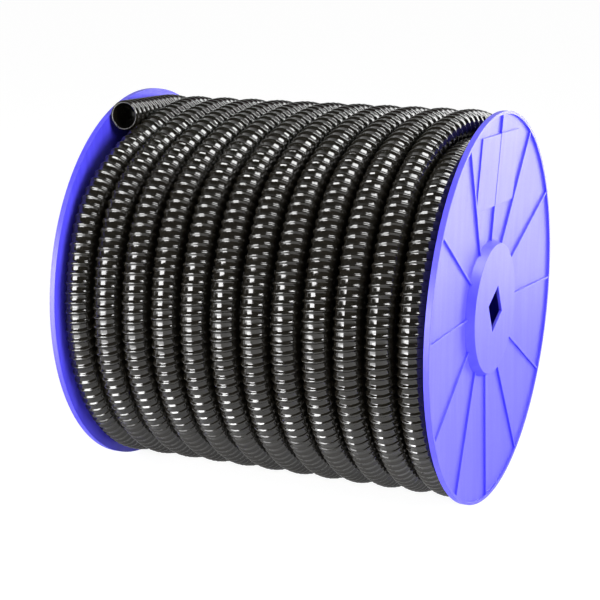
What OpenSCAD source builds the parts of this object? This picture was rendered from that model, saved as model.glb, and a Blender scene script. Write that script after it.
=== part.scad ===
// Corrugated conduit wound on a moulded plastic reel, standing on the rims of its two flanges.
// Lengths are in millimetres. The reel's axle runs along X and Z is up. The origin lies on the
// floor, under the middle of the reel.
// Angles round the winding start at the front (-Y) and grow over the top towards the back.

/* [Conduit] */
// Outer diameter, over the ribs
conduit_od = 32; // [20:1:40]
// Depth from the rib crests to the bore
conduit_wall = 3.2; // [1.5:0.1:4.5]
// Length of the straight stretch behind the open end
mouth_length = 92; // [60:1:100]

/* [Winding] */
// Turns in one layer
turns = 12; // [4:1:16]
// Layers from the barrel outwards
layers = 4; // [2:1:5]
// Gap between neighbouring turns of a layer
turn_gap = 0.4; // [0.4:0.1:2]
// Gap between neighbouring layers
layer_gap = 0.6; // [0.6:0.1:2]
// Gap between the barrel and the first layer
barrel_gap = 1; // [0.5:0.1:3]
// Gap between the end turns and the flanges
side_gap = 0.4; // [0.3:0.1:2]
// Angle at which the wound part of the conduit starts, behind the straight free end
mouth_angle = 94; // [92:1:98]
// Angle at which each turn starts its step sideways to the next place
step_start = 22; // [0:1:24]
// Angle that the step takes
step_sweep = 60; // [56:1:64]
// Angle before the step at which the last turn starts to sink to the layer below
sink_lead = 30; // [25:1:40]

/* [Barrel] */
// Outer diameter of the barrel
barrel_od = 128; // [90:1:160]
// Wall of the barrel
barrel_wall = 4; // [2:0.5:8]
// Clearance of the barrel in its sockets, all round and at each end
barrel_fit = 0.3; // [0.2:0.1:1]

/* [Flanges] */
// Height of the rim over the outer turns
rim_margin = 5.2; // [1:0.1:20]
// Thickness of the rim's lip
lip_t = 3; // [1.5:0.1:5]
// Depth of the web below the edge of the rim, which the ribs fill
web_recess = 2.7; // [1.5:0.1:4]
// Thickness of the web
web_t = 2.9; // [2.4:0.1:5]
// How much deeper the dished web lies at the hub than at the rim
dish_depth = 6.5; // [0:0.5:12]
// Wall of the hub round the barrel's socket
hub_wall = 2.2; // [1.5:0.1:5]
// Draft of the hub's side, from its face to its foot
hub_draft = 3.5; // [0:0.5:8]
// Thickness of the hub's face
hub_face_t = 3; // [2:0.1:5]
// Side of the square spindle hole
spindle_side = 34; // [20:1:50]

/* [Ribs and label plate] */
// Number of radial ribs
rib_count = 12; // [4:2:16]
// Thickness of a rib
rib_t = 2.2; // [1:0.1:4]
// How far the crowns of the ribs lie below the edge of the rim
rib_drop = 0.3; // [0.2:0.1:1]
// Width of the label plate
plate_w = 120; // [60:1:130]
// Height of the label plate, along the radius
plate_h = 73; // [40:1:80]
// Distance from the plate's upper edge to the edge of the rim
plate_inset = 22; // [10:1:30]
// How far the plate lies below the crowns of the ribs
plate_drop = 0.4; // [0.2:0.1:1]
// How far the reel is turned on its axle, clockwise as seen from the right
reel_turn = 3.5; // [0:0.5:90]

/* [Hidden] */

// Winding
conduit_r = conduit_od / 2;
bore_r = conduit_r - conduit_wall;
turn_pitch = conduit_od + turn_gap;
layer_pitch = conduit_od + layer_gap;
winding_bore_r = barrel_od / 2 + barrel_gap;
function layer_r(n) = winding_bore_r + conduit_r + layer_pitch * (n - 1);
outer_r = layer_r(layers);
function turn_x(n) = (n - (turns + 1) / 2) * turn_pitch;

// Flange, in its own frame: Z points out of the reel, from the plane of the rim's inner edge
flange_r = outer_r + conduit_r + rim_margin;
rim_w = web_recess + web_t;
lip_r = flange_r - lip_t;
socket_r = barrel_od / 2 + barrel_fit;
hub_r = socket_r + hub_wall;
hub_foot_r = hub_r + hub_draft;
rib_root_r = (3 * hub_r + hub_foot_r) / 4;
socket_z = rim_w - hub_face_t;
dish_slope = dish_depth / (lip_r - hub_foot_r);
function dish(r) = dish_slope * max(0, lip_r - r);
function web_out_z(r) = rim_w - web_recess - dish(r);
function web_in_z(r) = web_out_z(r) - web_t;
rib_h = web_recess - rib_drop;
rib_seat = web_t / 3;
plate_seat = web_t / 2;
corner_turn = 180 / rib_count;

// The flange stands clear of the end turns, whose widest point lies a little way down the dish
flange_x = turn_x(turns) + conduit_r / cos(atan(dish_slope)) + side_gap + dish(outer_r);
barrel_end_x = flange_x + socket_z - barrel_fit;

// Conduit sweep
sides = 10;
rings_per_turn = 44;
// The faceted sweep lies a little inside the conduit's diameter and starts inside the foot of the free end
sweep_r = conduit_r - 0.1;
start_angle = mouth_angle - 0.3;
sink_start = step_start - sink_lead;
sink_sweep = 2 * sink_lead;
sink_end = sink_start + sink_sweep;
bay_lead = 5;
bay_clearance = 0.1;
end_angle = 360 * turns + sink_end - bay_clearance;
ring_count = ceil((end_angle - start_angle) / 360 * rings_per_turn);
function smooth(f) = f <= 0 ? 0 : f >= 1 ? 1 : f * f * (3 - 2 * f);
function steps_done(a) = floor((a - step_start) / 360);
function step_part(a) = (a - step_start - 360 * steps_done(a)) / step_sweep;
function path_x(a) = turn_x(min(turns, steps_done(a) + smooth(step_part(a))));
function path_r(a) = outer_r - layer_pitch * smooth((a - 360 * turns - sink_start) / sink_sweep);
function on_winding(x, r, a) = [x, -r * cos(a), r * sin(a)];
function path_point(a) = on_winding(path_x(a), path_r(a), a);
function unit(v) = v / norm(v);
function path_dir(a) = unit(path_point(a + 0.5) - path_point(a - 0.5));
function ring(a) =
    let (side = unit(cross(path_dir(a), on_winding(0, 1, a))))
    let (out = cross(side, path_dir(a)), c = path_point(a))
    [for (k = [0 : sides - 1]) c + sweep_r * (cos(360 * k / sides) * out + sin(360 * k / sides) * side)];

module swept_turns() {
    angles = [for (i = [0 : ring_count]) start_angle + (end_angle - start_angle) * i / ring_count];
    points = [for (a = angles) each ring(a)];
    last = ring_count * sides;
    walls = [for (i = [0 : ring_count - 1], k = [0 : sides - 1])
        let (a = i * sides, b = a + sides, m = (k + 1) % sides)
            each [[a + k, b + k, b + m], [a + k, b + m, a + m]]];
    polyhedron(points, concat(walls, [[for (k = [0 : sides - 1]) k]],
        [[for (k = [sides - 1 : -1 : 0]) last + k]]), convexity = 10);
}

module mouth() {
    difference() {
        cylinder(r = conduit_r, h = mouth_length, $fn = 96);
        translate([0, 0, conduit_wall]) cylinder(r = bore_r, h = mouth_length, $fn = 96);
    }
}

module conduit() {
    color([0.09, 0.09, 0.09]) translate([0, 0, flange_r]) {
        swept_turns();
        translate(path_point(mouth_angle)) rotate([180 - mouth_angle, 0, 0]) mouth();
    }
}

module inner_windings() {
    end_x = function (r) flange_x + web_in_z(r) - side_gap;
    body_r = layer_r(layers - 1);
    crest_r = body_r + conduit_r;
    color([0.12, 0.12, 0.12]) translate([0, 0, flange_r]) rotate([0, 90, 0]) difference() {
        rotate_extrude($fn = 180) intersection() {
            polygon([[winding_bore_r, -end_x(winding_bore_r)], [crest_r, -end_x(crest_r)],
                [crest_r, end_x(crest_r)], [winding_bore_r, end_x(winding_bore_r)]]);
            union() {
                translate([0, -flange_x]) square([body_r, 2 * flange_x]);
                for (n = [1 : turns]) translate([body_r, turn_x(n)]) circle(r = conduit_r, $fn = 48);
            }
        }
        // Bay in which the last turn of the outer layer sinks to this one
        rotate([0, 0, -90 - sink_end]) rotate_extrude(angle = sink_sweep + bay_lead, $fn = 180)
            translate([body_r - conduit_r - layer_gap, turn_x(turns) - conduit_r - layer_gap / 2])
                square([2 * layer_pitch, conduit_od + 2 * side_gap + dish_depth + layer_gap]);
    }
}

module barrel() {
    color([0.44, 0.42, 0.93]) translate([-barrel_end_x, 0, flange_r]) rotate([0, 90, 0])
        difference() {
            cylinder(d = barrel_od, h = 2 * barrel_end_x, $fn = 180);
            translate([0, 0, -barrel_end_x])
                cylinder(d = barrel_od - 2 * barrel_wall, h = 4 * barrel_end_x, $fn = 180);
        }
}

module flange_disc() {
    rotate_extrude($fn = 240)
        polygon([[0, rim_w], [hub_r, rim_w], [hub_foot_r, web_out_z(hub_foot_r)],
            [lip_r, web_out_z(lip_r)], [lip_r, rim_w], [flange_r, rim_w], [flange_r, 0], [lip_r, 0],
            [socket_r, web_in_z(socket_r)], [socket_r, socket_z], [0, socket_z]]);
}

// A bar that follows the web from one radius to another, stands `height` over it and is sunk `seat` into it
module web_bar(from_r, to_r, width, height, seat) {
    rotate([90, 0, 90]) translate([0, 0, -width / 2]) linear_extrude(width)
        polygon([[from_r, web_out_z(from_r) - seat], [to_r, web_out_z(to_r) - seat],
            [to_r, web_out_z(to_r) + height], [from_r, web_out_z(from_r) + height]]);
}

module flange(turn) {
    plate_top_r = flange_r - plate_inset;
    rotate([0, 0, -turn]) difference() {
        union() {
            rotate([0, 0, 180 + corner_turn]) flange_disc();
            for (k = [0 : rib_count - 1]) rotate([0, 0, -360 * k / rib_count])
                web_bar(rib_root_r, lip_r + lip_t / 2, rib_t, rib_h, rib_seat);
            web_bar(plate_top_r - plate_h, plate_top_r, plate_w, rib_h - plate_drop, plate_seat);
        }
        rotate([0, 0, 45 - corner_turn]) translate([0, 0, rim_w])
            cube([spindle_side, spindle_side, 4 * rim_w], center = true);
    }
}

module flange_right() {
    color([0.44, 0.42, 0.93]) translate([flange_x, 0, flange_r]) rotate([90, 0, 90]) flange(reel_turn);
}

// The same moulding turned round, with its spindle hole in line with the other
module flange_left() {
    color([0.44, 0.42, 0.93]) translate([-flange_x, 0, flange_r]) rotate([90, 0, -90])
        flange(-reel_turn - 2 * corner_turn);
}

flange_left();
flange_right();
barrel();
inner_windings();
conduit();
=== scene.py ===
import math

import bmesh
import bpy
import numpy as np
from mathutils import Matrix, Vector


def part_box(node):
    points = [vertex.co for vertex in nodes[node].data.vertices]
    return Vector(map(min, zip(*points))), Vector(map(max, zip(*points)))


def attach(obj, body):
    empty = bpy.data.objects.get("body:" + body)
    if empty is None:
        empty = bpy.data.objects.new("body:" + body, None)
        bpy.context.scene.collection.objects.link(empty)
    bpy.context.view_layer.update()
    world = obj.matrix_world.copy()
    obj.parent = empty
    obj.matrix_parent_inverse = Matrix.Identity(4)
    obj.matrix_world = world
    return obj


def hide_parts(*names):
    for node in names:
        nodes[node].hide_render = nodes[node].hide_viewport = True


# Corrugated conduit on its moulded reel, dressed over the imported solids. Lengths are in metres.
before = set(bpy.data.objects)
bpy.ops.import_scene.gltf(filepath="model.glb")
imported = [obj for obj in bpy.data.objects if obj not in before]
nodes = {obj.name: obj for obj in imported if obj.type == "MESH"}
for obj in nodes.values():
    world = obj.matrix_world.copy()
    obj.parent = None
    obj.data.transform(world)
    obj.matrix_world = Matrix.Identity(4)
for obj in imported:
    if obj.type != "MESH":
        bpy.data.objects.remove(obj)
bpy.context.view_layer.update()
mm = 0.001
reelLow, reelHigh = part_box("flange_right")
axleHeight = (reelLow.z + reelHigh.z) / 2
print("frame loaded:", sorted(nodes))


def linear(hexColour):
    # sRGB hex to linear RGBA
    channels = [int(hexColour[i:i + 2], 16) / 255 for i in (1, 3, 5)]
    return [c / 12.92 if c <= 0.04045 else ((c + 0.055) / 1.055) ** 2.4 for c in channels] + [1.0]


def newMaterial(name):
    material = bpy.data.materials.new(name)
    material.use_nodes = True
    material.node_tree.nodes.clear()
    return material, material.node_tree


def addNode(tree, kind, links=None, values=None, **properties):
    # links: socket -> (node, output); values: socket -> value; properties: the node's own settings
    node = tree.nodes.new(kind)
    for key, value in properties.items():
        setattr(node, key, value)
    for socket, value in (values or {}).items():
        node.inputs[socket].default_value = value
    for socket, (source, output) in (links or {}).items():
        tree.links.new(source.outputs[output], node.inputs[socket])
    return node


def addMath(tree, operation, first, second):
    return addNode(tree, "ShaderNodeMath", {0: first, 1: second}, operation=operation)


def addRange(tree, source, span, result=(0.0, 1.0)):
    # Maps the span onto the result, and holds the ends
    values = dict(zip(("From Min", "From Max", "To Min", "To Max"), (*span, *result)))
    return addNode(tree, "ShaderNodeMapRange", {"Value": source}, values)


def addNoise(tree, way, values):
    return addNode(tree, "ShaderNodeTexNoise", {"Vector": way}, values)


def addTint(tree, share, first, second):
    values = {"A": linear(first), "B": linear(second)}
    return addNode(tree, "ShaderNodeMix", {"Factor": (share, "Result")}, values, data_type="RGBA")


def finishSurface(tree, tint, rough, bump, ior):
    links = {"Base Color": (tint, "Result"), "Roughness": (rough, "Result"), "Normal": (bump, "Normal")}
    shader = addNode(tree, "ShaderNodeBsdfPrincipled", links, {"IOR": ior})
    addNode(tree, "ShaderNodeOutputMaterial", {"Surface": (shader, "BSDF")})


def addObject(name, data):
    thing = bpy.data.objects.new(name, data)
    bpy.context.scene.collection.objects.link(thing)
    return thing


def addMesh(name, bm, material):
    mesh = bpy.data.meshes.new(name)
    bm.to_mesh(mesh)
    bm.free()
    mesh.materials.append(material)
    return addObject(name, mesh)


def finishPiece(name, bm, material, replaced):
    piece = addMesh(name, bm, material)
    for polygon in piece.data.polygons:
        polygon.use_smooth = True
    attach(piece, "root")
    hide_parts(*replaced)


# Flexible PVC, extruded with a stiff spiral rib: near black, smooth and glossy, with a little dust.
# Noise scales are in waves to the metre. The specks are drawn coarser than real dust.
pvcLook = {
    "colour": "#13110D",
    "dust": "#3A3733",
    "roughness": (0.09, 0.2),
    "ior": 1.54,
    "cloud": {"Scale": 40.0, "Detail": 3.0, "Roughness": 0.6},
    "cloudSpan": (0.35, 0.7),
    "specks": {"Scale": 900.0, "Detail": 2.0},
    "speckSpan": (0.62, 0.8),
    "dustShare": (0.0, 0.35),
    "waviness": 0.12,
    "waveDepth": 0.4 * mm,
}


def makePvc():
    look = pvcLook
    material, tree = newMaterial("glossyBlackPvc")
    place = addNode(tree, "ShaderNodeTexCoord")
    cloud = addNoise(tree, (place, "Object"), look["cloud"])
    specks = addNoise(tree, (place, "Object"), look["specks"])
    rough = addRange(tree, (cloud, "Fac"), look["cloudSpan"], look["roughness"])
    dust = addRange(tree, (specks, "Fac"), look["speckSpan"], look["dustShare"])
    tint = addTint(tree, dust, look["colour"], look["dust"])
    bump = addNode(tree, "ShaderNodeBump", {"Height": (cloud, "Fac")},
                   {"Strength": look["waviness"], "Distance": look["waveDepth"]})
    finishSurface(tree, tint, rough, bump, look["ior"])
    return material


# Polypropylene, injection-moulded and coloured through: satin, with faint flow marks across the web and
# slightly rounded corners. The grain is drawn coarser than the real one.
reelLook = {
    "colour": "#4E48E4",
    "flow": "#453ED8",
    "roughness": (0.4, 0.53),
    "ior": 1.49,
    "flowStretch": (1.0, 30.0, 4.0),
    "flowMarks": {"Scale": 3.0, "Detail": 4.0, "Roughness": 0.55},
    "flowSpan": (0.35, 0.65),
    "grain": {"Scale": 700.0, "Detail": 2.0},
    "graininess": 0.05,
    "grainDepth": 0.1 * mm,
    "corner": 0.5 * mm,
    "cornerSamples": 4,
}


def makePolypropylene():
    look = reelLook
    material, tree = newMaterial("mouldedPolypropylene")
    place = addNode(tree, "ShaderNodeTexCoord")
    stretch = addNode(tree, "ShaderNodeMapping", {"Vector": (place, "Object")},
                      {"Scale": look["flowStretch"]})
    flow = addNoise(tree, (stretch, "Vector"), look["flowMarks"])
    grain = addNoise(tree, (place, "Object"), look["grain"])
    tint = addTint(tree, addRange(tree, (flow, "Fac"), look["flowSpan"]), look["colour"], look["flow"])
    rough = addRange(tree, (grain, "Fac"), (0.0, 1.0), look["roughness"])
    corner = addNode(tree, "ShaderNodeBevel", None, {"Radius": look["corner"]},
                     samples=look["cornerSamples"])
    bump = addNode(tree, "ShaderNodeBump", {"Height": (grain, "Fac"), "Normal": (corner, "Normal")},
                   {"Strength": look["graininess"], "Distance": look["grainDepth"]})
    finishSurface(tree, tint, rough, bump, look["ior"])
    return material


pvc = makePvc()
polypropylene = makePolypropylene()
print("materials made")

# Winding: the route of the conduit's middle. Angles are in degrees, 0 at the front, growing over the top.
# In a step a turn moves over by one pitch. Each step starts a delay later than the one before.
winding = {
    "turns": 12,
    "pitch": 32.4 * mm,
    "radius": 178.8 * mm,
    "layerPitch": 32.6 * mm,
    "mouthAngle": 94.0,
    "mouthLength": 92.0 * mm,
    "stepStart": 28.0,
    "stepDelay": 1.5,
    "stepSweep": 60.0,
    "sweepGrowth": 4.5,
    "climbGrowth": 0.5 * mm,
    "climbStart": 45.0,
    "climbSweep": 100.0,
    "sinkStart": 42.0,
    "sinkSweep": 68.0,
    "endGap": 0.1,  # the conduit stops this far before the end of the sink
    "breakShift": 90.0,  # from the mouth to the back, where the pieces meet
    "pieces": 4,
    "tableStep": 0.5,
}


def eased(angle, start, sweep):
    # 0 before the start, 1 after the sweep, and smooth between
    share = np.clip((angle - start) / sweep, 0.0, 1.0)
    return share * share * (3 - 2 * share)


def onWinding(x, radius, angle):
    turned = np.radians(angle)
    return np.stack([x + 0 * turned, -radius * np.cos(turned), radius * np.sin(turned)], axis=-1)


def routePoint(angle):
    # done numbers the current step, and before counts the ones that delay, lengthen and raise it
    w = winding
    done = np.floor((angle - w["stepStart"]) / 360)
    before = np.maximum(done - 1, 0)
    place = angle - 360 * done
    step = eased(place, w["stepStart"] + w["stepDelay"] * before, w["stepSweep"] + w["sweepGrowth"] * before)
    turn = np.minimum(w["turns"], done + step)
    sunk = w["layerPitch"] * eased(angle, 360 * w["turns"] + w["sinkStart"], w["sinkSweep"])
    across = np.clip((place - w["climbStart"]) / w["climbSweep"], 0, 1)
    climbed = w["climbGrowth"] * before * np.sin(math.pi * across) ** 2
    x = (turn - (w["turns"] + 1) / 2) * w["pitch"]
    return onWinding(x, w["radius"] - sunk + climbed, angle) + np.array([0, 0, axleHeight])


def routeTable(firstAngle, lastAngle):
    # Angles at even steps, and how far along the route each one is
    step = winding["tableStep"]
    angles = np.arange(firstAngle, lastAngle + step / 2, step)
    spans = np.linalg.norm(np.diff(routePoint(angles), axis=0), axis=1)
    return angles, np.concatenate([[0], np.cumsum(spans)])


def unit(vectors):
    return vectors / np.linalg.norm(vectors, axis=-1, keepdims=True)


def bendAlong(bm, table):
    # A straight piece up Z is laid on the route: Z becomes the way along it, X the way out from the axle
    angles, lengths = table
    step = winding["tableStep"]
    flat = np.array([v.co for v in bm.verts])
    along = flat[:, 2]
    inside = np.clip(along, 0, lengths[-1])
    angle = np.interp(inside, lengths, angles)
    forward = unit(routePoint(angle + step) - routePoint(angle - step))
    side = unit(np.cross(forward, onWinding(0.0, 1.0, angle)))
    out = np.cross(side, forward)
    middle = routePoint(angle) + forward * (along - inside)[:, None]
    placed = middle + out * flat[:, :1] + side * flat[:, 1:2]
    for vert, co in zip(bm.verts, placed):
        vert.co = co


# Conduit: half of the wall's outline over one lead of the spiral, as (way along, radius) in millimetres,
# from the middle of a band to the top of the rib. The other half mirrors it.
conduit = {
    "lead": 9.3 * mm,
    "steps": 20,
    "halfOutline": [(0.0, 14.1), (1.5, 14.1), (2.2, 14.2), (2.75, 14.6), (3.3, 15.3), (3.95, 15.82),
                    (4.65, 16.0)],
    "endRadius": 14.1 * mm,
    "bore": 13.3 * mm,
    "boreDepth": 60 * mm,
    "boreEdge": 2 * mm,  # a ring here keeps the mouth's edge crisp
    "rimInset": 0.5 * mm,
    "flatness": 0.001 * mm,
    "weldShare": 1 / 2000,  # of a lead, as the next
    "cutShare": 1 / 100000,
    "capCorners": 12,
}


def spunLead(bm, first):
    # One lead of the ribbed wall, its outline spun and drawn along the spiral
    lead, steps = conduit["lead"], conduit["steps"]
    half = [(z * mm, r * mm) for z, r in conduit["halfOutline"]]
    whole = half + [(lead - z, r) for z, r in half[-2::-1]]
    verts = [bm.verts.new((r, 0, first * lead + z)) for z, r in whole]
    edges = [bm.edges.new(pair) for pair in zip(verts, verts[1:])]
    bmesh.ops.spin(bm, geom=verts + edges, cent=(0, 0, 0), axis=(0, 0, 1), dvec=(0, 0, lead / steps),
                   angle=2 * math.pi, steps=steps)


def ribbedLength(start, end):
    # Repeats one lead by doubling what is there, and cuts both ends square
    lead = conduit["lead"]
    bm = bmesh.new()
    first = math.floor(start / lead) - 1
    spunLead(bm, first)
    count = 1
    while first + count < end / lead + 1:
        more = bmesh.ops.duplicate(bm, geom=bm.verts[:] + bm.edges[:] + bm.faces[:])
        moved = [g for g in more["geom"] if isinstance(g, bmesh.types.BMVert)]
        bmesh.ops.translate(bm, verts=moved, vec=(0, 0, count * lead))
        count *= 2
        spare = [v for v in bm.verts if v.co.z > end + 2 * lead]
        bmesh.ops.delete(bm, geom=spare, context="VERTS")
    bmesh.ops.remove_doubles(bm, verts=bm.verts, dist=lead * conduit["weldShare"])
    for place, facing in ((start, -1), (end, 1)):
        cut = bmesh.ops.bisect_plane(bm, geom=bm.verts[:] + bm.edges[:] + bm.faces[:],
                                     dist=lead * conduit["cutShare"], plane_co=(0, 0, place),
                                     plane_no=(0, 0, facing), clear_outer=True)
        rim = [g for g in cut["geom_cut"] if isinstance(g, bmesh.types.BMEdge)]
        bmesh.ops.edgeloop_fill(bm, edges=rim)
    bmesh.ops.recalc_face_normals(bm, faces=bm.faces)
    return bm


def boreOut(bm, place):
    # Turns the flat cap at the open end into a rim and a deep bore. Only the two caps have so many corners.
    caps = [face for face in bm.faces if len(face.verts) > conduit["capCorners"]]
    cap = min(caps, key=lambda face: face.calc_center_median().z)
    bmesh.ops.inset_individual(bm, faces=[cap], thickness=conduit["rimInset"], use_even_offset=True)
    inner = set(cap.verts)
    for vert in bm.verts:
        if abs(vert.co.z - place) < conduit["flatness"]:
            radius = conduit["bore"] if vert in inner else conduit["endRadius"]
            turned = Vector((vert.co.x, vert.co.y)).normalized() * radius
            vert.co = (turned.x, turned.y, place)
    for depth in (conduit["boreEdge"], conduit["boreDepth"]):
        pushed = bmesh.ops.extrude_discrete_faces(bm, faces=[cap])
        cap = pushed["faces"][0]
        for vert in cap.verts:
            vert.co.z = place + depth


def makeOuterLayer():
    # The layer is one long conduit, made in a few pieces that meet at the back
    w = winding
    lastAngle = 360 * w["turns"] + w["sinkStart"] + w["sinkSweep"] - w["endGap"]
    table = routeTable(w["mouthAngle"], lastAngle)
    length = table[1][-1]
    share = 360 * w["turns"] / w["pieces"]
    shift = w["mouthAngle"] + w["breakShift"]
    breaks = [np.interp(shift + share * k, *table) for k in range(1, w["pieces"])]
    stations = [-w["mouthLength"], *breaks, length]
    for k, (start, end) in enumerate(zip(stations, stations[1:])):
        bm = ribbedLength(start, end)
        if k == 0:
            boreOut(bm, start)
        bendAlong(bm, table)
        finishPiece(f"conduitTurns{k + 1}", bm, pvc, ["conduit"])
    print("outer layer made,", round(length, 2), "m")


makeOuterLayer()

for name in ("flange_right", "flange_left", "barrel", "inner_windings"):
    slots = nodes[name].data.materials
    slots.clear()
    slots.append(pvc if name == "inner_windings" else polypropylene)
print("reel coloured")

# Floor, light and camera. A lamp is its place, the point it is aimed at, its width and height, its power,
# and whether it serves the gloss or the matt colour.
studio = {
    "floor": "#F4F4F4",
    "floorReach": 8.0,
    "glow": 0.75,  # the floor's share of glow where it is seen; the rest is paint
    "glowStrength": 1.2,
    "poolMiddle": (0.3, 0.75, 0.0),
    "pool": (0.35, 1.2),  # the glow mirrored from the floor fades between these distances
    "poolShare": (1.3, 0.0),
    "behind": (0.1, 0.5),  # how far back a ray points where the mirrored backdrop begins and is full
    "backdrop": 1.0,
    "fill": 0.36,
    "room": 0.06,
    "lamps": {
        "leftSoftbox": ((-0.775, -1.647, 0.475), (0.0, -0.19, 0.2), (1.1, 0.71), 50, "gloss"),
        "leftFill": ((-0.775, -1.647, 0.475), (0.0, -0.19, 0.2), (1.15, 0.71), 55, "matt"),
        "lowStrip": ((-0.31, -0.773, 0.105), (0.0, -0.19, 0.105), (0.44, 0.19), 3.5, "gloss"),
        "floorCard": ((-0.2, -0.42, 0.01), (0.0, -0.13, 0.08), (0.3, 0.3), 2.0, "gloss"),
        "rightSoftbox": ((0.74, 0.03, 1.75), (0.0, -0.1, 0.34), (0.85, 1.0), 46, "gloss"),
        "rearSoftbox": ((0.714, 1.07, 0.7), (0.0, -0.03, 0.37), (0.6, 1.05), 18, "gloss"),
        "lowRearPanel": ((0.45, 0.75, 0.2), (0.2, 0.0, 0.2), (0.6, 0.38), 2.3, "gloss"),
        "keyLight": ((1.6, -0.4, 0.75), (0.0, 0.0, 0.18), (0.9, 0.9), 42, "matt"),
    },
    "camera": (0.7188, -1.6787, 0.6714),
    "aim": (-0.01498, 0.0, 0.18628),
    "lens": 107.0,
    "sensor": 36.0,
}


def addSeen(tree, path, mirrorShare):
    # 1 where it is seen straight or through something clear, and the given share where it is mirrored
    mirrored = addMath(tree, "MULTIPLY", mirrorShare, (path, "Is Glossy Ray"))
    straight = addMath(tree, "MAXIMUM", (path, "Is Camera Ray"), (path, "Is Transmission Ray"))
    return addMath(tree, "MAXIMUM", (straight, "Value"), (mirrored, "Value"))


def makeFloorMaterial():
    # Glows white where it is seen, and as a pool behind the object where it is mirrored. The rest is a paint
    # that takes the shadow.
    material, tree = newMaterial("paleStudioFloor")
    path = addNode(tree, "ShaderNodeLightPath")
    place = addNode(tree, "ShaderNodeTexCoord")
    away = addNode(tree, "ShaderNodeVectorMath", {0: (place, "Object")}, {1: studio["poolMiddle"]},
                   operation="DISTANCE")
    pool = addRange(tree, (away, "Value"), studio["pool"], studio["poolShare"])
    seen = addSeen(tree, path, (pool, "Result"))
    share = addNode(tree, "ShaderNodeMath", {0: (seen, "Value")}, {1: studio["glow"]}, operation="MULTIPLY")
    paint = addNode(tree, "ShaderNodeBsdfDiffuse", None, {"Color": linear(studio["floor"])})
    glow = addNode(tree, "ShaderNodeEmission", None, {"Strength": studio["glowStrength"]})
    mixed = addNode(tree, "ShaderNodeMixShader",
                    {0: (share, "Value"), 1: (paint, "BSDF"), 2: (glow, "Emission")})
    addNode(tree, "ShaderNodeOutputMaterial", {"Surface": (mixed, "Shader")})
    return material


def makeFloor():
    bm = bmesh.new()
    bmesh.ops.create_grid(bm, x_segments=1, y_segments=1, size=studio["floorReach"])
    addMesh("floor", bm, makeFloorMaterial())


def addBackdrop(tree, strength):
    return addNode(tree, "ShaderNodeBackground", None, {"Color": (1, 1, 1, 1), "Strength": strength})


def makeWorld():
    # White to the camera and, where it is mirrored, behind the object. Elsewhere a fill serves the matt
    # colour and a dim room the gloss.
    world = bpy.data.worlds.new("studio")
    bpy.context.scene.world = world
    world.use_nodes = True
    tree = world.node_tree
    tree.nodes.clear()
    path = addNode(tree, "ShaderNodeLightPath")
    way = addNode(tree, "ShaderNodeTexCoord")
    parts = addNode(tree, "ShaderNodeSeparateXYZ", {"Vector": (way, "Generated")})
    behind = addRange(tree, (parts, "Y"), studio["behind"])
    seen = addSeen(tree, path, (behind, "Result"))
    white, fill, room = [addBackdrop(tree, studio[name]) for name in ("backdrop", "fill", "room")]
    around = addNode(tree, "ShaderNodeMixShader",
                     {0: (path, "Is Glossy Ray"), 1: (fill, "Background"), 2: (room, "Background")})
    mixed = addNode(tree, "ShaderNodeMixShader",
                    {0: (seen, "Value"), 1: (around, "Shader"), 2: (white, "Background")})
    addNode(tree, "ShaderNodeOutputWorld", {"Surface": (mixed, "Shader")})


def aimAt(thing, place, target):
    thing.location = place
    thing.rotation_euler = (Vector(target) - Vector(place)).to_track_quat("-Z", "Y").to_euler()


def addLamp(name, place, target, size, power, serves):
    data = bpy.data.lights.new(name, "AREA")
    data.shape = "RECTANGLE"
    data.size, data.size_y = size
    data.energy = power
    lamp = addObject(name, data)
    aimAt(lamp, place, target)
    lamp.visible_camera = False
    lamp.visible_diffuse = serves == "matt"
    lamp.visible_glossy = serves == "gloss"


def addCamera():
    camera = addObject("camera", bpy.data.cameras.new("camera"))
    bpy.context.scene.camera = camera
    aimAt(camera, studio["camera"], studio["aim"])
    camera.data.lens = studio["lens"]
    camera.data.sensor_width = studio["sensor"]


makeFloor()
makeWorld()
for name, lamp in studio["lamps"].items():
    addLamp(name, *lamp)
addCamera()
bpy.context.scene.view_settings.view_transform = "Standard"
print("studio made")
